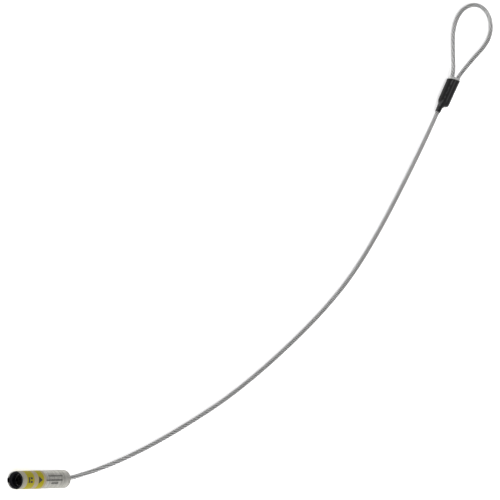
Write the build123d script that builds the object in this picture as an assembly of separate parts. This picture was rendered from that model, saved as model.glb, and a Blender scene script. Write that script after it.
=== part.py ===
from build123d import *
import math
import os

# Wire-pulling grip: a steel tube that clamps stripped conductors under set screws and swivels on a
# vinyl-coated wire-rope lanyard, which ends in a crimped pulling eye.
# Millimetres. X runs along the tube from its mouth to its nose, Z is up, and everything lies on Z = 0.
# The origin is under the middle of the tube.

# ---- driving dimensions -------------------------------------------------------------------------
TUBE_DIAMETER = 19.05
TUBE_LENGTH = 88.0
NOSE_TAPER_LENGTH = 5.6
NOSE_FACE_DIAMETER = 10.0
NOSE_WALL = 11.0
NOSE_HOLE_DIAMETER = 6.6
NOSE_HOLE_CHAMFER = 0.5

LIP_DEPTH = 2.9
LIP_WALL = 0.45
COUNTERBORE_DIAMETER = 17.4
COUNTERBORE_DEPTH = 10.0
BORE_DIAMETER = 12.7
BUSHING_BORE = 13.4
BUSHING_LEAD_IN = 1.4

STOP_DIAMETER = 11.2
STOP_LENGTH = 10.0
STOP_CHAMFER = 0.8
CHAMBER_DIAMETER = 12.0
CHAMBER_END_GAP = 0.5
WASHER_DIAMETER = 11.6
WASHER_THICKNESS = 1.4
WASHER_BORE = 4.4
SWIVEL_PLAY = 0.15

LABEL_THICKNESS = 0.15
LABEL_START = 3.5
LABEL_END = 41.5
LABEL_SEAM_ANGLE = 32.0

SCREW_DIAMETER = 6.35
SCREW_LENGTH = 2.9
SCREW_SINK = 0.2
SCREW_CHAMFER = 0.3
SCREW_RUNNING_GAP = 0.15
SCREW_SOCKET = 3.2
SCREW_SOCKET_DEPTH = 1.7
SCREW_GROOVES = 2
SCREW_GROOVE_DEPTH = 0.25
SCREW_ANGLE = 120.0
SCREW_STATIONS = {"front": 45.5, "middle": 53.5, "rear": 61.5}

ROPE_DIAMETER = 3.2
JACKET_DIAMETER = 4.9
JACKET_BORE = 3.5
STRAND_SPACING = 5.4
FLOOR_GAP = 0.05

FERRULE_WALL = 2.0
FERRULE_START = 13.0
FERRULE_END = 48.0
FERRULE_CRIMPS = 3
CRIMP_WIDTH = 6.0
CRIMP_DEPTH = 0.6
SHRINK_WALL = 0.8
SHRINK_NECK_START = -3.0
SHRINK_NECK_END = 4.0
SHRINK_BODY_START = 11.0
SHRINK_END = 44.5
NECK_FLAT = 0.2

# How far a cutting solid reaches past the surface that it cuts through.
CUT_MARGIN = 1.0

# ---- worked-out places --------------------------------------------------------------------------
TUBE_RADIUS = TUBE_DIAMETER / 2
MOUTH_X = -TUBE_LENGTH / 2
NOSE_X = TUBE_LENGTH / 2
SHOULDER_X = NOSE_X - NOSE_WALL
WASHER_X = SHOULDER_X - SWIVEL_PLAY - WASHER_THICKNESS
STOP_X = WASHER_X - STOP_LENGTH
CHAMBER_X = STOP_X - CHAMBER_END_GAP
COUNTERBORE_X = MOUTH_X + COUNTERBORE_DEPTH

# The lanyard's route, from the stop in the nose to its tail in the ferrule. Its middle rests on the
# floor, with its centre at height FLOOR, and the ferrule holds its two strands at height CRIMP.
AXIS = TUBE_RADIUS
FLOOR = JACKET_DIAMETER / 2 + FLOOR_GAP
CRIMP = JACKET_DIAMETER / 2 + FERRULE_WALL + SHRINK_WALL + FLOOR_GAP
ROUTE = [
    (STOP_X, 0, AXIS),
    (44.5, 0, AXIS),
    (71.5, 4.2, 8.8),
    (104, 9.2, 5.2),
    (152, 19.5, FLOOR),
    (208, 36, FLOOR),
    (268, 57, FLOOR),
    (330, 81, FLOOR),
    (391, 110, FLOOR),
    (450, 142, FLOOR),
    (508, 177, FLOOR),
    (560, 215, FLOOR),
    (608, 262, FLOOR),
    (652, 312, FLOOR + 0.1),
    (694, 366, 4.2),
    (718, 400, CRIMP),
    (735, 422.4, CRIMP),
    (751, 444, CRIMP),
    (747, 468, 4.4),
    (749, 493, 3.2),
    (763, 513, FLOOR),
    (786, 523.5, FLOOR),
    (812, 519, FLOOR),
    (825, 500.5, FLOOR),
    (821, 477.5, FLOOR),
    (795, 460, 3.8),
    (756.5, 442, CRIMP),
    (742.3, 423, CRIMP),
    (729, 405.6, CRIMP),
]
ARC_SHARE = 0.45

# The sleeve's own axes: it runs along a 3-4-5 slope, with the two strands side by side.
SLEEVE_ALONG = Vector(0.6, 0.8, 0)
SLEEVE_ACROSS = Vector(0.8, -0.6, 0)
MAIN_STRAND = Vector(718, 400, CRIMP)
SLEEVE_AXIS = MAIN_STRAND + SLEEVE_ACROSS * (STRAND_SPACING / 2)


# ---- helpers ------------------------------------------------------------------------------------
def rod(diameter, start_x, end_x):
    """A cylinder on the tube's axis, between two stations along X."""
    plane = Plane(origin=(start_x, 0, AXIS), z_dir=(1, 0, 0))
    return extrude(plane * Circle(diameter / 2), amount=end_x - start_x)


def cone(start_diameter, end_diameter, start_x, end_x):
    """A truncated cone on the tube's axis, between two stations along X."""
    profile = Polyline(
        (start_x, AXIS),
        (start_x, AXIS + start_diameter / 2),
        (end_x, AXIS + end_diameter / 2),
        (end_x, AXIS),
        close=True,
    )
    face = make_face(Plane.XZ * profile)
    return revolve(face, Axis((0, 0, AXIS), (1, 0, 0)))


def arc_radii(points):
    """The radius of each corner's arc: 0.45 of the shorter run over the tangent of half the turn."""
    radii = []
    for before, corner, after in zip(points, points[1:], points[2:]):
        run_in = Vector(*corner) - Vector(*before)
        run_out = Vector(*after) - Vector(*corner)
        half_turn = math.radians(run_in.get_angle(run_out)) / 2
        shorter = min(run_in.length, run_out.length)
        radii.append(ARC_SHARE * shorter / math.tan(half_turn))
    return radii


def route_wire(points):
    return FilletPolyline(*points, radius=arc_radii(points))


def round_sweep(diameter, path):
    section = Plane(origin=path @ 0, z_dir=path % 0) * Circle(diameter / 2)
    return sweep(section, path=path)


def sleeve_plane(station, offset=0.0):
    """A plane square to the sleeve, at a station along it and an offset across it."""
    origin = SLEEVE_AXIS + SLEEVE_ALONG * station + SLEEVE_ACROSS * offset
    return Plane(origin=origin, x_dir=SLEEVE_ACROSS, z_dir=SLEEVE_ALONG)


def oval(station, wall):
    """The oval outline around both strands, with the given wall over them."""
    return sleeve_plane(station) * SlotCenterToCenter(STRAND_SPACING, JACKET_DIAMETER + 2 * wall)


def around_axis(angle, station):
    """A plane that touches the tube, at an angle from the top and a station from the mouth."""
    out = Vector(0, -math.sin(math.radians(angle)), math.cos(math.radians(angle)))
    origin = Vector(MOUTH_X + station, 0, AXIS) + out * TUBE_RADIUS
    return Plane(origin=origin, x_dir=(1, 0, 0), z_dir=out)


# ---- the grip -----------------------------------------------------------------------------------
def grip_tube():
    body = rod(TUBE_DIAMETER, MOUTH_X, NOSE_X - NOSE_TAPER_LENGTH)
    body += cone(TUBE_DIAMETER, NOSE_FACE_DIAMETER, NOSE_X - NOSE_TAPER_LENGTH, NOSE_X)
    lip_diameter = TUBE_DIAMETER - 2 * LIP_WALL
    body -= cone(lip_diameter, COUNTERBORE_DIAMETER, MOUTH_X, MOUTH_X + LIP_DEPTH)
    body -= rod(COUNTERBORE_DIAMETER, MOUTH_X + LIP_DEPTH, COUNTERBORE_X)
    body -= rod(BORE_DIAMETER, COUNTERBORE_X, CHAMBER_X)
    body -= rod(CHAMBER_DIAMETER, CHAMBER_X, SHOULDER_X)
    body -= rod(NOSE_HOLE_DIAMETER, SHOULDER_X, NOSE_X)
    mouth_of_hole = NOSE_HOLE_DIAMETER + 2 * NOSE_HOLE_CHAMFER
    body -= cone(NOSE_HOLE_DIAMETER, mouth_of_hole, NOSE_X - NOSE_HOLE_CHAMFER, NOSE_X)
    for station in SCREW_STATIONS.values():
        hole = Circle(SCREW_DIAMETER / 2 + SCREW_RUNNING_GAP)
        body -= extrude(around_axis(SCREW_ANGLE, station) * hole, amount=-TUBE_RADIUS)
    return body


def mouth_bushing():
    start = MOUTH_X + LIP_DEPTH
    ring = rod(COUNTERBORE_DIAMETER, start, COUNTERBORE_X)
    ring -= rod(BUSHING_BORE, start, COUNTERBORE_X)
    lead_in = BUSHING_BORE + 2 * BUSHING_LEAD_IN
    return ring - cone(lead_in, BUSHING_BORE, start, start + BUSHING_LEAD_IN)


def size_label():
    start = MOUTH_X + LABEL_START
    end = MOUTH_X + LABEL_END
    wrap = rod(TUBE_DIAMETER + 2 * LABEL_THICKNESS, start, end) - rod(TUBE_DIAMETER, start, end)
    seam_depth = TUBE_DIAMETER
    seam_half_width = seam_depth * math.tan(math.radians(LABEL_SEAM_ANGLE / 2))
    wedge = Polyline(
        (0, AXIS),
        (-seam_half_width, AXIS - seam_depth),
        (seam_half_width, AXIS - seam_depth),
        close=True,
    )
    start_plane = Plane(origin=(start, 0, 0), x_dir=(0, 1, 0), z_dir=(1, 0, 0))
    return wrap - extrude(start_plane * make_face(wedge), amount=end - start)


def set_screw(station):
    top = around_axis(SCREW_ANGLE, station).offset(-SCREW_SINK)
    radius = SCREW_DIAMETER / 2
    body = extrude(top * Circle(radius), amount=-SCREW_LENGTH)
    body = chamfer(body.edges().filter_by(GeomType.CIRCLE), SCREW_CHAMFER)
    pitch = SCREW_LENGTH / (SCREW_GROOVES + 1)
    for turn in range(1, SCREW_GROOVES + 1):
        groove = top.offset(-turn * pitch - pitch / 4)
        ring = Circle(radius + CUT_MARGIN) - Circle(radius - SCREW_GROOVE_DEPTH)
        body -= extrude(groove * ring, amount=pitch / 2)
    socket_radius = SCREW_SOCKET / math.sqrt(3)
    return body - extrude(top * RegularPolygon(socket_radius, 6), amount=-SCREW_SOCKET_DEPTH)


# ---- the swivel ---------------------------------------------------------------------------------
def stop_sleeve():
    body = rod(STOP_DIAMETER, STOP_X, WASHER_X) - rod(ROPE_DIAMETER, STOP_X, WASHER_X)
    rims = body.edges().filter_by(GeomType.CIRCLE).filter_by(lambda edge: edge.radius > ROPE_DIAMETER)
    return chamfer(rims, STOP_CHAMFER)


def thrust_washer():
    end = WASHER_X + WASHER_THICKNESS
    return rod(WASHER_DIAMETER, WASHER_X, end) - rod(WASHER_BORE, WASHER_X, end)


# ---- the lanyard --------------------------------------------------------------------------------
def wire_rope():
    return round_sweep(ROPE_DIAMETER, route_wire(ROUTE))


def jacket_outside():
    return round_sweep(JACKET_DIAMETER, route_wire(ROUTE))


def clear_jacket():
    body = jacket_outside() - round_sweep(JACKET_BORE, route_wire(ROUTE))
    stripped_diameter = JACKET_DIAMETER + 2 * CUT_MARGIN
    stripped_end = rod(stripped_diameter, STOP_X - CUT_MARGIN, SHOULDER_X + SWIVEL_PLAY)
    return body - stripped_end


def sleeve_block(start, end, wall):
    return extrude(oval(start, wall), amount=end - start)


def crimp_ferrule():
    body = sleeve_block(FERRULE_START, FERRULE_END, FERRULE_WALL)
    spacing = (FERRULE_END - FERRULE_START) / (FERRULE_CRIMPS + 1)
    for crimp in range(1, FERRULE_CRIMPS + 1):
        start = FERRULE_START + crimp * spacing - CRIMP_WIDTH / 2
        band = sleeve_block(start, start + CRIMP_WIDTH, FERRULE_WALL + CUT_MARGIN)
        body -= band - sleeve_block(start, start + CRIMP_WIDTH, FERRULE_WALL - CRIMP_DEPTH)
    return body - jacket_outside()


def heat_shrink():
    body = sleeve_block(SHRINK_BODY_START, SHRINK_END, FERRULE_WALL + SHRINK_WALL)
    neck_diameter = JACKET_DIAMETER + 2 * SHRINK_WALL
    neck_outline = SlotCenterToCenter(NECK_FLAT, neck_diameter)
    neck_end = sleeve_plane(SHRINK_NECK_END, -STRAND_SPACING / 2) * neck_outline
    body += loft([neck_end.face(), oval(SHRINK_BODY_START, FERRULE_WALL + SHRINK_WALL).face()])
    neck_start = sleeve_plane(SHRINK_NECK_START, -STRAND_SPACING / 2) * neck_outline
    body += extrude(neck_start, amount=SHRINK_NECK_END - SHRINK_NECK_START)
    body -= sleeve_block(FERRULE_START, SHRINK_END, FERRULE_WALL)
    return body - jacket_outside()


# ---- output -------------------------------------------------------------------------------------
PARTS = {
    "grip_tube": grip_tube,
    "mouth_bushing": mouth_bushing,
    "size_label": size_label,
    "stop_sleeve": stop_sleeve,
    "thrust_washer": thrust_washer,
    "wire_rope": wire_rope,
    "clear_jacket": clear_jacket,
    "crimp_ferrule": crimp_ferrule,
    "heat_shrink": heat_shrink,
}


def main():
    os.makedirs("parts", exist_ok=True)
    solids = {name: make() for name, make in PARTS.items()}
    for place, station in SCREW_STATIONS.items():
        solids[f"set_screw_{place}"] = set_screw(station)
    for name, solid in solids.items():
        export_step(solid, f"parts/{name}.step")
    print("arc radii:", ", ".join(f"{radius:.1f}" for radius in arc_radii(ROUTE)))
    length = route_wire(ROUTE).length
    section = math.pi * ROPE_DIAMETER**2 / 4
    print(f"route length {length:.1f}, section x length {section * length:.0f}, "
          f"rope volume {solids['wire_rope'].volume:.0f}")


main()
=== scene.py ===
"""A wire-pulling grip: a steel tube with set screws, swivelling on a vinyl-coated wire-rope lanyard.

Everything is in metres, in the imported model's frame: X runs along the tube from its mouth to its
nose, Z is up, and the object lies on Z = 0.
"""

import math

import bpy
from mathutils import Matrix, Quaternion, Vector


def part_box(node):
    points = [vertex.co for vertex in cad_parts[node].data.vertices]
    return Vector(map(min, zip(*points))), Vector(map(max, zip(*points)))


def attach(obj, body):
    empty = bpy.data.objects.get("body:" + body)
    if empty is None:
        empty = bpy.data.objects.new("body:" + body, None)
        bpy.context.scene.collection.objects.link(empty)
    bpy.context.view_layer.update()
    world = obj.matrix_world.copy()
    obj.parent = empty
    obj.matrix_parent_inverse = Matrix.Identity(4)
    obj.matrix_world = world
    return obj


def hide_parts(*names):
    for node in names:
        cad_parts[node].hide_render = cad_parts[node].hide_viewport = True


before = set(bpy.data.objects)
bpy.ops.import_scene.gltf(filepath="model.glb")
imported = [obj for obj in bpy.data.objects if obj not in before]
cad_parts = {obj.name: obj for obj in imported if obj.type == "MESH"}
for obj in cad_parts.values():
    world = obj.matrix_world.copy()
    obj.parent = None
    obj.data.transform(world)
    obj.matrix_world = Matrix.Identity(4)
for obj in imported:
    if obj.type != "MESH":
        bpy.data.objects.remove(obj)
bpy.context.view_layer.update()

MM = 0.001

# ---- sizes, named as in the CAD source where it has them ----------------------------------------
TUBE_DIAMETER = 19.05 * MM
TUBE_RADIUS = TUBE_DIAMETER / 2
AXIS = TUBE_RADIUS
MOUTH_X = -44 * MM
SHOULDER_X = 33 * MM

ROPE_DIAMETER = 3.2 * MM
JACKET_DIAMETER = 4.9 * MM
JACKET_RADIUS = JACKET_DIAMETER / 2
SWIVEL_PLAY = 0.15 * MM
JACKET_START_X = SHOULDER_X + SWIVEL_PLAY
# Heights of the lanyard's centre where it lies on the floor and where the ferrule holds it.
FLOOR = 2.5 * MM
CRIMP = 5.3 * MM

# The sleeve's own directions, and its middle line between the ferrule's two strands.
SLEEVE_ALONG = Vector((0.6, 0.8, 0))
SLEEVE_ACROSS = Vector((0.8, -0.6, 0))
MAIN_STRAND = Vector((0.718, 0.400, CRIMP))
STRAND_SPACING = 5.4 * MM
SLEEVE_AXIS = MAIN_STRAND + SLEEVE_ACROSS * (STRAND_SPACING / 2)

LABEL_START_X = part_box("size_label")[0].x
LABEL_END_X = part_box("size_label")[1].x
LABEL_THICKNESS = 0.15 * MM
LABEL_RADIUS = TUBE_RADIUS + LABEL_THICKNESS

# The lanyard's route: the CAD rope's points, with those round the eye placed anew for
# the spline.
ROUTE = [
    (0.02145, 0, AXIS),
    (0.0445, 0, AXIS),
    (0.0715, 0.0042, 0.0088),
    (0.104, 0.0092, 0.0052),
    (0.152, 0.0195, FLOOR),
    (0.208, 0.036, FLOOR),
    (0.268, 0.057, FLOOR),
    (0.330, 0.081, FLOOR),
    (0.391, 0.110, FLOOR),
    (0.450, 0.142, FLOOR),
    (0.508, 0.177, FLOOR),
    (0.560, 0.215, FLOOR),
    (0.608, 0.262, FLOOR),
    (0.652, 0.312, FLOOR),
    (0.694, 0.366, 0.0042),
    (0.718, 0.400, CRIMP),
    (0.7345, 0.422, CRIMP),
    (0.7473, 0.4416, CRIMP),
    (0.7465, 0.4665, 0.0044),
    (0.7485, 0.492, 0.0032),
    (0.7625, 0.5115, FLOOR),
    (0.786, 0.5203, FLOOR),
    (0.808, 0.5175, FLOOR),
    (0.822, 0.5055, FLOOR),
    (0.8235, 0.4885, FLOOR),
    (0.8115, 0.474, 0.0028),
    (0.789, 0.4605, 0.0038),
    (0.7577, 0.4396, CRIMP),
    (0.7423, 0.423, CRIMP),
    (0.729, 0.4056, CRIMP),
]
# Points read from the spline for each stretch of the route.
ROUTE_RESOLUTION = 44


# ---- mesh helpers -------------------------------------------------------------------------------
def mesh_object(name, vertices, faces, material):
    mesh = bpy.data.meshes.new(name)
    mesh.from_pydata([tuple(v) for v in vertices], [], faces)
    mesh.polygons.foreach_set("use_smooth", [True] * len(mesh.polygons))
    mesh.update()
    obj = bpy.data.objects.new(name, mesh)
    obj.data.materials.append(material)
    bpy.context.scene.collection.objects.link(obj)
    return obj


def ring_faces(ring_count, sides, first=0):
    """Quads that join one ring of vertices to the next."""
    faces = []
    for ring in range(ring_count - 1):
        base = first + ring * sides
        for side in range(sides):
            after = (side + 1) % sides
            faces.append((base + side, base + after, base + sides + after, base + sides + side))
    return faces


def end_caps(ring_count, sides, first=0):
    """A closing face on the first ring and one on the last."""
    last = first + (ring_count - 1) * sides
    return [
        tuple(first + side for side in reversed(range(sides))),
        tuple(last + side for side in range(sides)),
    ]


def arc_lengths(points):
    lengths = [0.0]
    for before, after in zip(points, points[1:]):
        lengths.append(lengths[-1] + (after - before).length)
    return lengths


def path_frames(points):
    """For each point of a line, two directions square to it and to each other, without twist."""
    tangents = []
    last = len(points) - 1
    for i in range(len(points)):
        tangents.append((points[min(i + 1, last)] - points[max(i - 1, 0)]).normalized())
    normal = tangents[0].orthogonal().normalized()
    frames = []
    for i, tangent in enumerate(tangents):
        if i:
            normal = tangents[i - 1].rotation_difference(tangent) @ normal
        normal = (normal - tangent * normal.dot(tangent)).normalized()
        frames.append((normal, tangent.cross(normal)))
    return frames


def beside(point, directions, angle, distance):
    """A place off a line's point, at an angle round the line."""
    normal, side = directions
    return point + (normal * math.cos(angle) + side * math.sin(angle)) * distance


# ---- material helpers ---------------------------------------------------------------------------
def new_material(name, **sockets):
    """A material, its node tree and its shader, with sockets of the shader set by name."""
    material = bpy.data.materials.new(name)
    material.use_nodes = True
    shader = material.node_tree.nodes["Principled BSDF"]
    for socket, value in sockets.items():
        shader.inputs[socket.replace("_", " ")].default_value = value
    return material, material.node_tree, shader


def add_node(tree, kind, settings=None, **sockets):
    """A node with its settings, and its sockets set to values or linked to other nodes' outputs."""
    node = tree.nodes.new(kind)
    for name, value in (settings or {}).items():
        setattr(node, name, value)
    for socket, value in sockets.items():
        target = node.inputs[socket.replace("_", " ")]
        if isinstance(value, bpy.types.NodeSocket):
            tree.links.new(value, target)
        else:
            target.default_value = value
    return node


def math_node(tree, operation, *values):
    node = tree.nodes.new("ShaderNodeMath")
    node.operation = operation
    for slot, value in enumerate(values):
        if isinstance(value, bpy.types.NodeSocket):
            tree.links.new(value, node.inputs[slot])
        else:
            node.inputs[slot].default_value = value
    return node.outputs[0]


def object_axes(tree, stretch=(1, 1, 1)):
    """The object's own coordinates, scaled along each axis."""
    place = add_node(tree, "ShaderNodeTexCoord")
    mapping = add_node(tree, "ShaderNodeMapping", Vector=place.outputs["Object"])
    mapping.inputs["Scale"].default_value = stretch
    return mapping.outputs[0]


def noise(tree, vector, scale, detail=2.0, roughness=0.5):
    node = add_node(
        tree, "ShaderNodeTexNoise", Vector=vector, Scale=scale, Detail=detail, Roughness=roughness
    )
    return node.outputs["Fac"]


def spread(tree, value, low, high):
    """A value from 0 to 1 taken to the range from low to high."""
    node = add_node(tree, "ShaderNodeMapRange", Value=value, To_Min=low, To_Max=high)
    return node.outputs[0]


def ramp(tree, value, start, end):
    """0 up to start and 1 from end on, with a smooth step between them."""
    node = add_node(
        tree,
        "ShaderNodeMapRange",
        {"interpolation_type": "SMOOTHSTEP"},
        Value=value,
        From_Min=start,
        From_Max=end,
    )
    return node.outputs[0]


def ramp_down(tree, value, start, end):
    """1 up to start and 0 from end on, with a smooth step between them."""
    return math_node(tree, "SUBTRACT", 1.0, ramp(tree, value, start, end))


def object_place(tree):
    """The object's own coordinates, as X, Y and Z."""
    place = add_node(tree, "ShaderNodeTexCoord").outputs["Object"]
    return add_node(tree, "ShaderNodeSeparateXYZ", Vector=place).outputs


def blend_colours(tree, share, first, second):
    """The first colour where the share is 0, and the second where it is 1."""
    node = add_node(tree, "ShaderNodeMix", {"data_type": "RGBA"})
    for slot, value in ((0, share), (6, first), (7, second)):
        if isinstance(value, bpy.types.NodeSocket):
            tree.links.new(value, node.inputs[slot])
        else:
            node.inputs[slot].default_value = value
    return node.outputs[2]


def add_bump(tree, shader, height, strength, distance):
    bump = add_node(tree, "ShaderNodeBump", Height=height, Strength=strength, Distance=distance)
    tree.links.new(bump.outputs[0], shader.inputs["Normal"])


# ---- camera, floor and light --------------------------------------------------------------------
CAMERA_TARGET = Vector((0.3753, 0.2416, 0))
CAMERA_DISTANCE = 8.6465
CAMERA_HEADING = math.radians(0.36)
CAMERA_ELEVATION = math.radians(36.8)
CAMERA_ROLL = math.radians(90)
CAMERA_LENS = 576
FLOOR_SIZE = 60.0
SUN_ANGLE = math.radians(60)
SUNS = [
    ("key", (0.1, 0.7, -1.0), 1.15),
    ("fill", (0.1, -0.7, -1.0), 0.25),
]
FLOOR_GLOW = 0.55
WALL_TOP = 0.25
CEILING_START = 0.85
WALL_LIGHT = 0.85
CEILING_LIGHT = 0.48
SIDE_TILT = 0.35


def add_camera():
    level = math.cos(CAMERA_ELEVATION)
    forward = Vector(
        (
            level * math.cos(CAMERA_HEADING),
            level * math.sin(CAMERA_HEADING),
            -math.sin(CAMERA_ELEVATION),
        )
    )
    data = bpy.data.cameras.new("camera")
    data.lens = CAMERA_LENS
    data.clip_start = 0.1
    data.clip_end = 100
    camera = bpy.data.objects.new("camera", data)
    camera.location = CAMERA_TARGET - forward * CAMERA_DISTANCE
    camera.rotation_mode = "QUATERNION"
    roll = Quaternion((0, 0, 1), CAMERA_ROLL)
    camera.rotation_quaternion = forward.to_track_quat("-Z", "Y") @ roll
    bpy.context.scene.collection.objects.link(camera)
    bpy.context.scene.camera = camera


def add_floor():
    material, tree, shader = new_material(
        "pale_floor", Roughness=0.9, Emission_Color=(1, 1, 1, 1), Emission_Strength=FLOOR_GLOW
    )
    grain = noise(tree, object_axes(tree), scale=40.0, detail=4.0)
    colour = blend_colours(tree, grain, (0.90, 0.90, 0.90, 1), (0.93, 0.93, 0.93, 1))
    tree.links.new(colour, shader.inputs["Base Color"])
    half = FLOOR_SIZE / 2
    corners = [(-half, -half, 0), (half, -half, 0), (half, half, 0), (-half, half, 0)]
    mesh_object("floor", corners, [(0, 1, 2, 3)], material)


def add_sun(name, direction, energy):
    data = bpy.data.lights.new(name, "SUN")
    data.energy = energy
    data.angle = SUN_ANGLE
    light = bpy.data.objects.new(name, data)
    light.rotation_mode = "QUATERNION"
    light.rotation_quaternion = Vector(direction).to_track_quat("-Z", "Y")
    bpy.context.scene.collection.objects.link(light)


def add_light():
    """Bright low surroundings under a darker ceiling, brighter on the key light's side."""
    world = bpy.data.worlds.new("studio")
    world.use_nodes = True
    tree = world.node_tree
    direction = add_node(tree, "ShaderNodeTexCoord").outputs["Generated"]
    axes = add_node(tree, "ShaderNodeSeparateXYZ", Vector=direction).outputs
    strength = add_node(
        tree,
        "ShaderNodeMapRange",
        {"interpolation_type": "SMOOTHSTEP"},
        Value=axes["Z"],
        From_Min=WALL_TOP,
        From_Max=CEILING_START,
        To_Min=WALL_LIGHT,
        To_Max=CEILING_LIGHT,
    )
    side = math_node(tree, "MULTIPLY_ADD", axes["Y"], -SIDE_TILT, 1.0)
    background = tree.nodes["Background"]
    background.inputs["Color"].default_value = (1, 1, 1, 1)
    tree.links.new(
        math_node(tree, "MULTIPLY", strength.outputs[0], side), background.inputs["Strength"]
    )
    bpy.context.scene.world = world
    for name, towards, energy in SUNS:
        add_sun(name, towards, energy)
    bpy.context.scene.view_settings.view_transform = "Standard"


# ---- materials ----------------------------------------------------------------------------------
BLACKENED_LENGTH = 1.7 * MM
BLACKENED_FADE = 0.5 * MM
RIM_LENGTH = 1.5 * MM
# Where the rim's painted highlight sits, in tube radii: how high above the axis, and how far out to a
# side.
HIGHLIGHT_FADES_FROM = -0.20
HIGHLIGHT_FADES_TO = 0.30
HIGHLIGHT_STARTS = 0.15
HIGHLIGHT_IN_FULL = 0.40


def rim_highlight_share(tree, axes):
    """1 inside the rim's two painted highlight crescents, low on either side, and 0 elsewhere."""
    at_rim = math_node(tree, "LESS_THAN", axes["X"], MOUTH_X + RIM_LENGTH)
    low = ramp_down(
        tree,
        axes["Z"],
        AXIS + HIGHLIGHT_FADES_FROM * TUBE_RADIUS,
        AXIS + HIGHLIGHT_FADES_TO * TUBE_RADIUS,
    )
    sideways = math_node(tree, "ABSOLUTE", axes["Y"])
    to_a_side = ramp(tree, sideways, HIGHLIGHT_STARTS * TUBE_RADIUS, HIGHLIGHT_IN_FULL * TUBE_RADIUS)
    return math_node(tree, "MULTIPLY", at_rim, math_node(tree, "MULTIPLY", low, to_a_side))


def steel_tube():
    """Satin steel turned on a lathe: fine rings round the axis, soft smudges, a blackened mouth.

    The black inside the rim carries a painted highlight: dull grey, not metallic, in two crescents,
    low on either side.
    """
    material, tree, shader = new_material(
        "steel_tube", Anisotropic=0.3, Specular_Tint=(0.55, 0.55, 0.53, 1)
    )
    rings = noise(tree, object_axes(tree, (9000, 60, 60)), scale=1.0, detail=2.0)
    bands = noise(tree, object_axes(tree, (1800, 25, 25)), scale=1.0, detail=4.0)
    smudge = noise(tree, object_axes(tree), scale=260.0, detail=4.0)
    scuff = noise(tree, object_axes(tree, (40, 700, 700)), scale=1.0, detail=3.0)
    tone = math_node(tree, "MULTIPLY_ADD", bands, 0.62, math_node(tree, "MULTIPLY", smudge, 0.38))
    contrast = ramp(tree, tone, 0.38, 0.62)
    steel = blend_colours(tree, contrast, (0.36, 0.355, 0.325, 1), (0.56, 0.55, 0.515, 1))
    axes = object_place(tree)
    black_ends = MOUTH_X + BLACKENED_LENGTH
    clear_of_mouth = ramp(tree, axes["X"], black_ends, black_ends + BLACKENED_FADE)
    blackened = blend_colours(tree, clear_of_mouth, (0.012, 0.012, 0.014, 1), steel)
    # Painted highlight: two dull grey, non-metallic crescents inside the rim, where light catches it.
    rim_highlight = rim_highlight_share(tree, axes)
    colour = blend_colours(tree, rim_highlight, blackened, (0.62, 0.615, 0.59, 1))
    tree.links.new(colour, shader.inputs["Base Color"])
    tree.links.new(math_node(tree, "SUBTRACT", 1.0, rim_highlight), shader.inputs["Metallic"])
    wear = math_node(tree, "MULTIPLY", smudge, scuff)
    tree.links.new(spread(tree, wear, 0.30, 0.62), shader.inputs["Roughness"])
    relief = math_node(tree, "ADD", rings, bands)
    add_bump(tree, shader, relief, strength=0.5, distance=0.03 * MM)
    return material


def black_nylon():
    """Matt black moulded nylon with a fine grain."""
    material, tree, shader = new_material("black_nylon", Specular_IOR_Level=0.15)
    grain = noise(tree, object_axes(tree), scale=900.0, detail=3.0)
    colour = blend_colours(tree, grain, (0.003, 0.003, 0.0035, 1), (0.006, 0.006, 0.0085, 1))
    tree.links.new(colour, shader.inputs["Base Color"])
    tree.links.new(spread(tree, grain, 0.42, 0.60), shader.inputs["Roughness"])
    add_bump(tree, shader, grain, strength=0.2, distance=0.03 * MM)
    return material


# Along the label, from its mouth end: where each printed colour starts.
LABEL_BANDS = [
    (LABEL_START_X, (0.33, 0.31, 0.24, 1)),
    (-34.5 * MM, (0.33, 0.28, 0.008, 1)),
    (-22.4 * MM, (0.35, 0.30, 0.21, 1)),
    (-15.7 * MM, (0.34, 0.29, 0.004, 1)),
    (-6.4 * MM, (0.35, 0.30, 0.21, 1)),
]


def label_film():
    """Satin printed film: yellow bands on a pale ground, slightly worn and dusty."""
    material, tree, shader = new_material("label_film", Specular_IOR_Level=0.06)
    length = LABEL_END_X - LABEL_START_X
    from_start = math_node(tree, "SUBTRACT", object_place(tree)["X"], LABEL_START_X)
    along = math_node(tree, "DIVIDE", from_start, length)
    colours = tree.nodes.new("ShaderNodeValToRGB")
    colours.color_ramp.interpolation = "CONSTANT"
    tree.links.new(along, colours.inputs["Fac"])
    stops = colours.color_ramp.elements
    while len(stops) < len(LABEL_BANDS):
        stops.new(1.0)
    for stop, (start, colour) in zip(stops, LABEL_BANDS):
        stop.position = (start - LABEL_START_X) / length
        stop.color = colour
    dust = noise(tree, object_axes(tree), scale=350.0, detail=4.0)
    dust_share = spread(tree, dust, 0.0, 0.05)
    faded = blend_colours(tree, dust_share, colours.outputs[0], (0.3, 0.29, 0.26, 1))
    tree.links.new(faded, shader.inputs["Base Color"])
    tree.links.new(spread(tree, dust, 0.40, 0.65), shader.inputs["Roughness"])
    add_bump(tree, shader, dust, strength=0.15, distance=0.03 * MM)
    return material


def worn_mark(name, dark, light):
    """A dull printed or etched mark, worn unevenly."""
    material, tree, shader = new_material(name)
    wear = noise(tree, object_axes(tree), scale=1500.0, detail=3.0)
    colour = blend_colours(tree, wear, dark, light)
    tree.links.new(colour, shader.inputs["Base Color"])
    tree.links.new(spread(tree, wear, 0.45, 0.65), shader.inputs["Roughness"])
    return material


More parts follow.
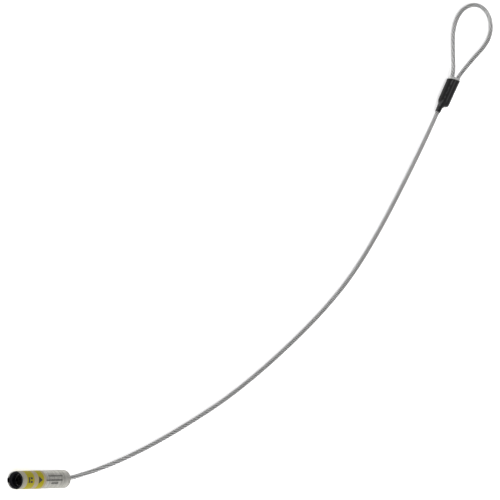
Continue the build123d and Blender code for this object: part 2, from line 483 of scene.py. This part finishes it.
def galvanised_wire():
    """Bright galvanised wire: zinc with duller patches, and painted shade down between the strands."""
    material, tree, shader = new_material("galvanised_wire", Metallic=1.0)
    patches = noise(tree, object_axes(tree), scale=500.0, detail=3.0)
    zinc = blend_colours(tree, patches, (0.88, 0.875, 0.865, 1), (0.97, 0.965, 0.955, 1))
    outward = add_node(tree, "ShaderNodeAttribute", {"attribute_name": "crest"}).outputs["Fac"]
    # Painted shade: near black where a wire faces into the rope, between the strands.
    bright = ramp(tree, outward, VALLEY_SHADE_EDGE, BRIGHT_EDGE)
    colour = blend_colours(tree, bright, (0.09, 0.09, 0.089, 1), zinc)
    tree.links.new(colour, shader.inputs["Base Color"])
    tree.links.new(spread(tree, patches, 0.28, 0.45), shader.inputs["Roughness"])
    return material


def clear_vinyl():
    """Clear extruded vinyl with a slightly wavy skin."""
    material, tree, shader = new_material(
        "clear_vinyl", Transmission_Weight=1.0, IOR=1.54, Base_Color=(0.88, 0.885, 0.89, 1)
    )
    skin = noise(tree, object_axes(tree), scale=250.0, detail=2.0)
    tree.links.new(spread(tree, skin, 0.03, 0.09), shader.inputs["Roughness"])
    add_bump(tree, shader, skin, strength=0.1, distance=0.05 * MM)
    return material


def black_oxide():
    """Blackened steel, slightly uneven."""
    material, tree, shader = new_material("black_oxide_steel", Metallic=1.0)
    patches = noise(tree, object_axes(tree), scale=1200.0, detail=3.0)
    colour = blend_colours(tree, patches, (0.035, 0.035, 0.038, 1), (0.09, 0.088, 0.085, 1))
    tree.links.new(colour, shader.inputs["Base Color"])
    tree.links.new(spread(tree, patches, 0.30, 0.50), shader.inputs["Roughness"])
    add_bump(tree, shader, patches, strength=0.2, distance=0.02 * MM)
    return material


def plain_metal(name, dark, light):
    """Bare satin metal with duller patches."""
    material, tree, shader = new_material(name, Metallic=1.0)
    patches = noise(tree, object_axes(tree), scale=700.0, detail=3.0)
    colour = blend_colours(tree, patches, dark, light)
    tree.links.new(colour, shader.inputs["Base Color"])
    tree.links.new(spread(tree, patches, 0.30, 0.48), shader.inputs["Roughness"])
    add_bump(tree, shader, patches, strength=0.15, distance=0.03 * MM)
    return material


# Where the sleeve's flanks carry a painted highlight, measured across it from its middle line.
FLANK_HIGHLIGHT_START = 5.2 * MM
FLANK_HIGHLIGHT_END = 6.2 * MM
FLANK_HIGHLIGHT_FADE = 0.5 * MM


def flank_highlight_share(tree):
    """1 along the sleeve's two flanks, where the painted highlight lies, and 0 elsewhere."""
    place = add_node(tree, "ShaderNodeTexCoord").outputs["Object"]
    from_origin = tree.nodes.new("ShaderNodeVectorMath")
    from_origin.operation = "DOT_PRODUCT"
    tree.links.new(place, from_origin.inputs[0])
    from_origin.inputs[1].default_value = SLEEVE_ACROSS
    middle = SLEEVE_AXIS.dot(SLEEVE_ACROSS)
    across = math_node(tree, "SUBTRACT", from_origin.outputs["Value"], middle)
    off_centre = math_node(tree, "ABSOLUTE", across)
    inner_edge = ramp(tree, off_centre, FLANK_HIGHLIGHT_START - FLANK_HIGHLIGHT_FADE, FLANK_HIGHLIGHT_START)
    outer_edge = ramp_down(tree, off_centre, FLANK_HIGHLIGHT_END, FLANK_HIGHLIGHT_END + FLANK_HIGHLIGHT_FADE)
    return math_node(tree, "MULTIPLY", inner_edge, outer_edge)


def black_heat_shrink():
    """Satin black polyolefin: a fine orange-peel skin, with a painted highlight in grey patches along
    its two flanks.
    """
    material, tree, shader = new_material("black_heat_shrink", Specular_IOR_Level=0.22)
    peel = noise(tree, object_axes(tree), scale=900.0, detail=3.0)
    dust = noise(tree, object_axes(tree), scale=120.0, detail=4.0)
    black = blend_colours(tree, dust, (0.003, 0.003, 0.0033, 1), (0.008, 0.008, 0.0085, 1))
    # Painted highlight: lighter grey along the flanks, broken into patches by the dust noise.
    patchy_highlight = math_node(tree, "MULTIPLY", flank_highlight_share(tree), ramp(tree, dust, 0.35, 0.60))
    colour = blend_colours(tree, patchy_highlight, black, (0.055, 0.055, 0.057, 1))
    tree.links.new(colour, shader.inputs["Base Color"])
    tree.links.new(spread(tree, dust, 0.28, 0.46), shader.inputs["Roughness"])
    add_bump(tree, shader, peel, strength=0.3, distance=0.06 * MM)
    return material


def paint_nodes():
    """Gives each CAD node that stays its material."""
    finishes = {
        "grip_tube": steel_tube(),
        "mouth_bushing": black_nylon(),
        "size_label": label_film(),
        "stop_sleeve": plain_metal("swaged_steel", (0.34, 0.34, 0.35, 1), (0.5, 0.5, 0.51, 1)),
        "thrust_washer": plain_metal("bronze", (0.48, 0.30, 0.12, 1), (0.62, 0.42, 0.18, 1)),
    }
    screw_finish = black_oxide()
    for place in ("front", "middle", "rear"):
        finishes[f"set_screw_{place}"] = screw_finish
    for node, material in finishes.items():
        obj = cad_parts[node]
        obj.data.materials.clear()
        obj.data.materials.append(material)


# ---- the lanyard --------------------------------------------------------------------------------
STRAND_COUNT = 6
STRAND_DIAMETER = ROPE_DIAMETER / 3
ROPE_LAY = 42 * MM
STRAND_LAY = 14 * MM
WIRES_SHOWN = 6
STRAND_SIDES = 2 * WIRES_SHOWN
# A strand's radius over its wires, and between them.
STRAND_CREST = 0.97 * STRAND_DIAMETER / 2
STRAND_VALLEY = 0.90 * STRAND_CREST
# How squarely the wire faces out of the rope where its painted shade ends and where its zinc is
# bright.
VALLEY_SHADE_EDGE = 0.42
BRIGHT_EDGE = 0.78
# The seventh strand is hidden, so it is coarse: few sides, and a ring at every fourth point.
CORE_SIDES = 6
CORE_STEP = 4
JACKET_SIDES = 24
# The radius of the coating's two end rings, as a share of its own.
JACKET_END_SHARE = 0.9


def route_points():
    """The lanyard's centreline, read from a smooth spline through the route."""
    data = bpy.data.curves.new("route", "CURVE")
    data.dimensions = "3D"
    spline = data.splines.new("NURBS")
    spline.points.add(len(ROUTE) - 1)
    for point, place in zip(spline.points, ROUTE):
        point.co = (*place, 1)
    spline.order_u = 3
    spline.use_endpoint_u = True
    data.resolution_u = ROUTE_RESOLUTION
    spline.resolution_u = ROUTE_RESOLUTION
    curve = bpy.data.objects.new("route", data)
    bpy.context.scene.collection.objects.link(curve)
    bpy.context.view_layer.update()
    view = bpy.context.evaluated_depsgraph_get()
    line = bpy.data.meshes.new_from_object(curve.evaluated_get(view))
    points = [vertex.co.copy() for vertex in line.vertices]
    bpy.data.objects.remove(curve)
    return points


def strand_rings(points, frames, lengths, strand):
    """One strand's rings: a lobed section, one lobe for each wire, laid round the rope.

    Also gives how squarely each vertex faces out of the rope, from 1 outermost to -1 innermost.
    """
    vertices, outward = [], []
    for point, directions, length in zip(points, frames, lengths):
        around = math.tau * (length / ROPE_LAY + strand / STRAND_COUNT)
        centre = beside(point, directions, around, STRAND_DIAMETER)
        twist = math.tau * -length / STRAND_LAY
        for corner in range(STRAND_SIDES):
            angle = twist + math.tau * corner / STRAND_SIDES
            radius = STRAND_VALLEY if corner % 2 else STRAND_CREST
            vertices.append(beside(centre, directions, angle, radius))
            outward.append(math.cos(angle - around))
    return vertices, outward


def wire_rope(points, material):
    """Six strands laid right-handed round a seventh."""
    frames = path_frames(points)
    lengths = arc_lengths(points)
    vertices, faces, outward = [], [], []
    for strand in range(STRAND_COUNT):
        first = len(vertices)
        rings, facing = strand_rings(points, frames, lengths, strand)
        vertices += rings
        outward += facing
        faces += ring_faces(len(points), STRAND_SIDES, first)
        faces += end_caps(len(points), STRAND_SIDES, first)
    first = len(vertices)
    core_points = points[::CORE_STEP]
    for point, directions in zip(core_points, frames[::CORE_STEP]):
        for corner in range(CORE_SIDES):
            angle = math.tau * corner / CORE_SIDES
            vertices.append(beside(point, directions, angle, STRAND_CREST))
            outward.append(0.0)
    count = len(core_points)
    faces += ring_faces(count, CORE_SIDES, first) + end_caps(count, CORE_SIDES, first)
    rope = mesh_object("rope_strands", vertices, faces, material)
    crest = rope.data.attributes.new("crest", "FLOAT", "POINT")
    crest.data.foreach_set("value", outward)
    return rope


def clear_jacket(points, material):
    """The vinyl coating: a tube along the route that draws in a little at its two cut ends."""
    frames = path_frames(points)
    vertices = []
    for place, (point, directions) in enumerate(zip(points, frames)):
        at_end = place in (0, len(points) - 1)
        radius = JACKET_RADIUS * (JACKET_END_SHARE if at_end else 1.0)
        for corner in range(JACKET_SIDES):
            angle = math.tau * corner / JACKET_SIDES
            vertices.append(beside(point, directions, angle, radius))
    count = len(points)
    faces = ring_faces(count, JACKET_SIDES) + end_caps(count, JACKET_SIDES)
    return mesh_object("vinyl_jacket", vertices, faces, material)


# ---- the sleeve ---------------------------------------------------------------------------------
SLEEVE_SIDES = 48
# The superellipse's power, and the depth and half width of the dip between the two barrels.
BARREL_FULLNESS = 2.3
BARREL_DIP = 1.1 * MM
BARREL_WAIST = 1.9 * MM
# The ferrule's own waist is this share of the distance from its middle to a lobe's centre.
FERRULE_WAIST_SHARE = 0.45


def oval_ring(station, offset, half_across, half_up, slant):
    """A ring round the sleeve: a superellipse that dips a little between the two barrels.

    Slant is how far the ring leans forward along the sleeve for each metre across it.
    """
    centre = SLEEVE_AXIS + SLEEVE_ALONG * station + SLEEVE_ACROSS * offset
    dip = BARREL_DIP * min(1.0, max(0.0, half_across / JACKET_DIAMETER - 1.0))
    power = 2 / BARREL_FULLNESS
    ring = []
    for corner in range(SLEEVE_SIDES):
        angle = math.tau * corner / SLEEVE_SIDES
        cosine, sine = math.cos(angle), math.sin(angle)
        across = math.copysign(abs(cosine) ** power, cosine) * half_across
        rise = abs(sine) ** power * half_up - dip * math.exp(-((across / BARREL_WAIST) ** 2))
        forward = SLEEVE_ALONG * (across * slant)
        up = Vector((0, 0, math.copysign(rise, sine)))
        ring.append(centre + SLEEVE_ACROSS * across + forward + up)
    return ring


# Station along the sleeve, offset across it, half width and half height, in millimetres, and slant:
# a neck on one strand, the step up to both, and the shrunk body over the crimps, cut off aslant.
SHRINK_OUTSIDE = [
    (-3.0, -2.7, 2.75, 2.75, 0),
    (-2.8, -2.7, 2.95, 2.95, 0),
    (1.0, -2.7, 3.00, 3.00, 0),
    (4.0, -2.7, 3.05, 3.05, 0),
    (6.0, -2.5, 3.35, 3.20, 0),
    (8.0, -1.7, 4.40, 3.70, 0),
    (9.6, -0.7, 6.00, 4.35, 0),
    (11.0, -0.15, 7.25, 4.85, 0),
    (12.4, 0.0, 8.00, 5.15, 0),
    (14.5, 0.0, 8.20, 5.24, 0),
    (20.0, 0.0, 8.05, 5.10, 0),
    (24.0, 0.0, 8.25, 5.25, 0),
    (29.0, 0.0, 8.10, 5.08, 0.12),
    (34.0, 0.0, 8.35, 5.25, 0.25),
    (38.5, 0.0, 8.30, 5.12, 0.37),
    (42.0, 0.0, 8.60, 5.22, 0.46),
    (44.2, 0.0, 8.70, 5.24, 0.50),
    (44.4, 0.0, 8.60, 5.15, 0.50),
]
SHRINK_INSIDE = [
    (44.4, 0.0, 7.95, 4.45, 0.50),
    (36.0, 0.0, 7.45, 4.45, 0.30),
    (13.0, 0.0, 7.15, 4.45, 0),
    (10.5, -0.3, 5.70, 3.50, 0),
    (4.0, -2.7, 2.46, 2.46, 0),
    (-3.0, -2.7, 2.46, 2.46, 0),
]


def heat_shrink(material):
    """The black tube shrunk over the ferrule, necking down onto the main strand."""
    vertices = []
    stations = SHRINK_OUTSIDE + SHRINK_INSIDE
    for station, offset, half_across, half_up, slant in stations:
        vertices += oval_ring(station * MM, offset * MM, half_across * MM, half_up * MM, slant)
    faces = ring_faces(len(stations), SLEEVE_SIDES)
    last = (len(stations) - 1) * SLEEVE_SIDES
    for side in range(SLEEVE_SIDES):
        after = (side + 1) % SLEEVE_SIDES
        faces.append((last + side, last + after, after, side))
    sleeve = mesh_object("shrink_sleeve", vertices, faces, material)
    smooth = sleeve.modifiers.new("smooth", "SUBSURF")
    smooth.levels = smooth.render_levels = 1
    return sleeve


def double_barrel_ring(station, radius, half_spacing, waist, slant):
    """A ring round both strands: two round lobes that meet in a waist, slanted as oval_ring's."""
    centre = SLEEVE_AXIS + SLEEVE_ALONG * station
    ring = []
    for corner in range(SLEEVE_SIDES):
        angle = math.tau * corner / SLEEVE_SIDES
        across = math.cos(angle) * (half_spacing + radius)
        past_lobe_centre = max(0.0, abs(across) - half_spacing)
        rise = math.sqrt(max(radius**2 - past_lobe_centre**2, 0.0))
        dip = waist * math.exp(-((across / (FERRULE_WAIST_SHARE * half_spacing)) ** 2))
        forward = SLEEVE_ALONG * (across * slant)
        up = Vector((0, 0, math.copysign(rise - dip, math.sin(angle))))
        ring.append(centre + SLEEVE_ACROSS * across + forward + up)
    return ring


# Station along the sleeve, then each lobe's radius and its distance from the middle, and the depth
# of the waist, in millimetres, and slant. The lobes spread towards the eye, as the strands do.
FERRULE_OUTSIDE = [
    (13.0, 4.00, 2.7, 0.9, 0),
    (13.5, 4.35, 2.7, 0.9, 0),
    (40.0, 4.35, 3.0, 0.9, 0.40),
    (45.4, 4.40, 3.5, 1.4, 0.50),
    (47.0, 4.35, 3.7, 1.8, 0.50),
    (47.6, 3.95, 3.7, 1.8, 0.50),
]
FERRULE_INSIDE = [
    (47.6, 3.00, 3.7, 0.9, 0.50),
    (47.2, 2.65, 3.6, 0.7, 0.50),
    (42.0, 2.55, 3.1, 0.2, 0.42),
]


def crimp_ferrule(material):
    """The double-barrel ferrule, whose rounded end shows past the heat shrink."""
    vertices = []
    stations = FERRULE_OUTSIDE + FERRULE_INSIDE
    for station, radius, half_spacing, waist, slant in stations:
        vertices += double_barrel_ring(
            station * MM, radius * MM, half_spacing * MM, waist * MM, slant
        )
    faces = ring_faces(len(stations), SLEEVE_SIDES) + end_caps(len(stations), SLEEVE_SIDES)
    return mesh_object("double_barrel_ferrule", vertices, faces, material)


# ---- printed marks ------------------------------------------------------------------------------
MARK_THICKNESS = 0.03 * MM
DEGREES_PER_STEP = 4
# At each step round a patch: inner and outer at its start, then inner and outer at its end.
STEP_CORNERS = 4


def curved_patch(vertices, faces, start, end, low, high, radius):
    """Adds a thin raised patch on the tube, between two stations and two angles from the top."""
    steps = max(2, int(math.degrees(high - low) / DEGREES_PER_STEP) + 1)
    first = len(vertices)
    for step in range(steps):
        angle = low + (high - low) * step / (steps - 1)
        for x in (start, end):
            for distance in (radius, radius + MARK_THICKNESS):
                height = AXIS + math.cos(angle) * distance
                vertices.append((x, math.sin(angle) * distance, height))
    for step in range(steps - 1):
        a = first + step * STEP_CORNERS
        b = a + STEP_CORNERS
        faces += [
            (a + 1, b + 1, b + 3, a + 3),
            (a, a + 2, b + 2, b),
            (a, b, b + 1, a + 1),
            (a + 2, a + 3, b + 3, b + 2),
        ]
    last = first + (steps - 1) * STEP_CORNERS
    faces += [(first, first + 1, first + 3, first + 2), (last, last + 2, last + 3, last + 1)]


def printed_marks(name, patches, radius, material):
    """Patches given as start, end in millimetres along X and low, high in degrees from the top."""
    vertices, faces = [], []
    for start, end, low, high in patches:
        curved_patch(
            vertices,
            faces,
            start * MM,
            end * MM,
            math.radians(low),
            math.radians(high),
            radius,
        )
    return mesh_object(name, vertices, faces, material)


# A bar and two short bars, then a stepped triangle.
LABEL_MARKS = [
    (-32.2, -29.8, -18, 18),
    (-28.8, -25.2, -18, -5),
    (-28.8, -25.2, 5, 18),
    (-15.0, -13.2, -21, 21),
    (-13.2, -11.4, -14, 14),
    (-11.4, -9.6, -7, 7),
]


def dash_row(start, end, angle, dash, gap, height):
    """A row of short dashes along X, centred on one angle, each as high as that many degrees."""
    patches = []
    x = start
    while x + dash <= end:
        patches.append((x, x + dash, angle - height / 2, angle + height / 2))
        x += dash + gap
    return patches


# Three rows: start, end and angle, then each dash's length, the gap after it and its height.
SIZE_TICKS = (
    dash_row(2.0, 26.0, 24, 1.3, 0.7, 11)
    + dash_row(-5.0, 24.5, -4, 1.5, 0.5, 11)
    + dash_row(7.0, 19.0, -24, 1.5, 0.4, 12)
)


# ---- the scene ----------------------------------------------------------------------------------
add_camera()
add_floor()
add_light()

rope_line = route_points()
rope = wire_rope(rope_line, galvanised_wire())
jacket_line = [point for point in rope_line if point.x >= JACKET_START_X]
jacket = clear_jacket(jacket_line, clear_vinyl())

shrink = heat_shrink(black_heat_shrink())
ferrule = crimp_ferrule(
    plain_metal("ferrule_aluminium", (0.42, 0.42, 0.42, 1), (0.75, 0.75, 0.74, 1))
)
printed_ink = worn_mark("printed_ink", (0.010, 0.008, 0.004, 1), (0.035, 0.028, 0.015, 1))
label_marks = printed_marks("label_marks", LABEL_MARKS, LABEL_RADIUS, printed_ink)
etched_mark = worn_mark("etched_mark", (0.03, 0.03, 0.027, 1), (0.07, 0.07, 0.063, 1))
size_ticks = printed_marks("size_ticks", SIZE_TICKS, TUBE_RADIUS, etched_mark)
paint_nodes()

for piece, body, node, slot in (
    (rope, "lanyard", "wire_rope", "galvanised_wire"),
    (jacket, "lanyard", "clear_jacket", "clear_vinyl"),
    (shrink, "lanyard", "heat_shrink", "black_heat_shrink"),
    (ferrule, "lanyard", "crimp_ferrule", "ferrule_aluminium"),
    (label_marks, "grip", None, "label_film"),
    (size_ticks, "grip", None, "steel_tube"),
):
    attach(piece, body)
    if node:
        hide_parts(node)
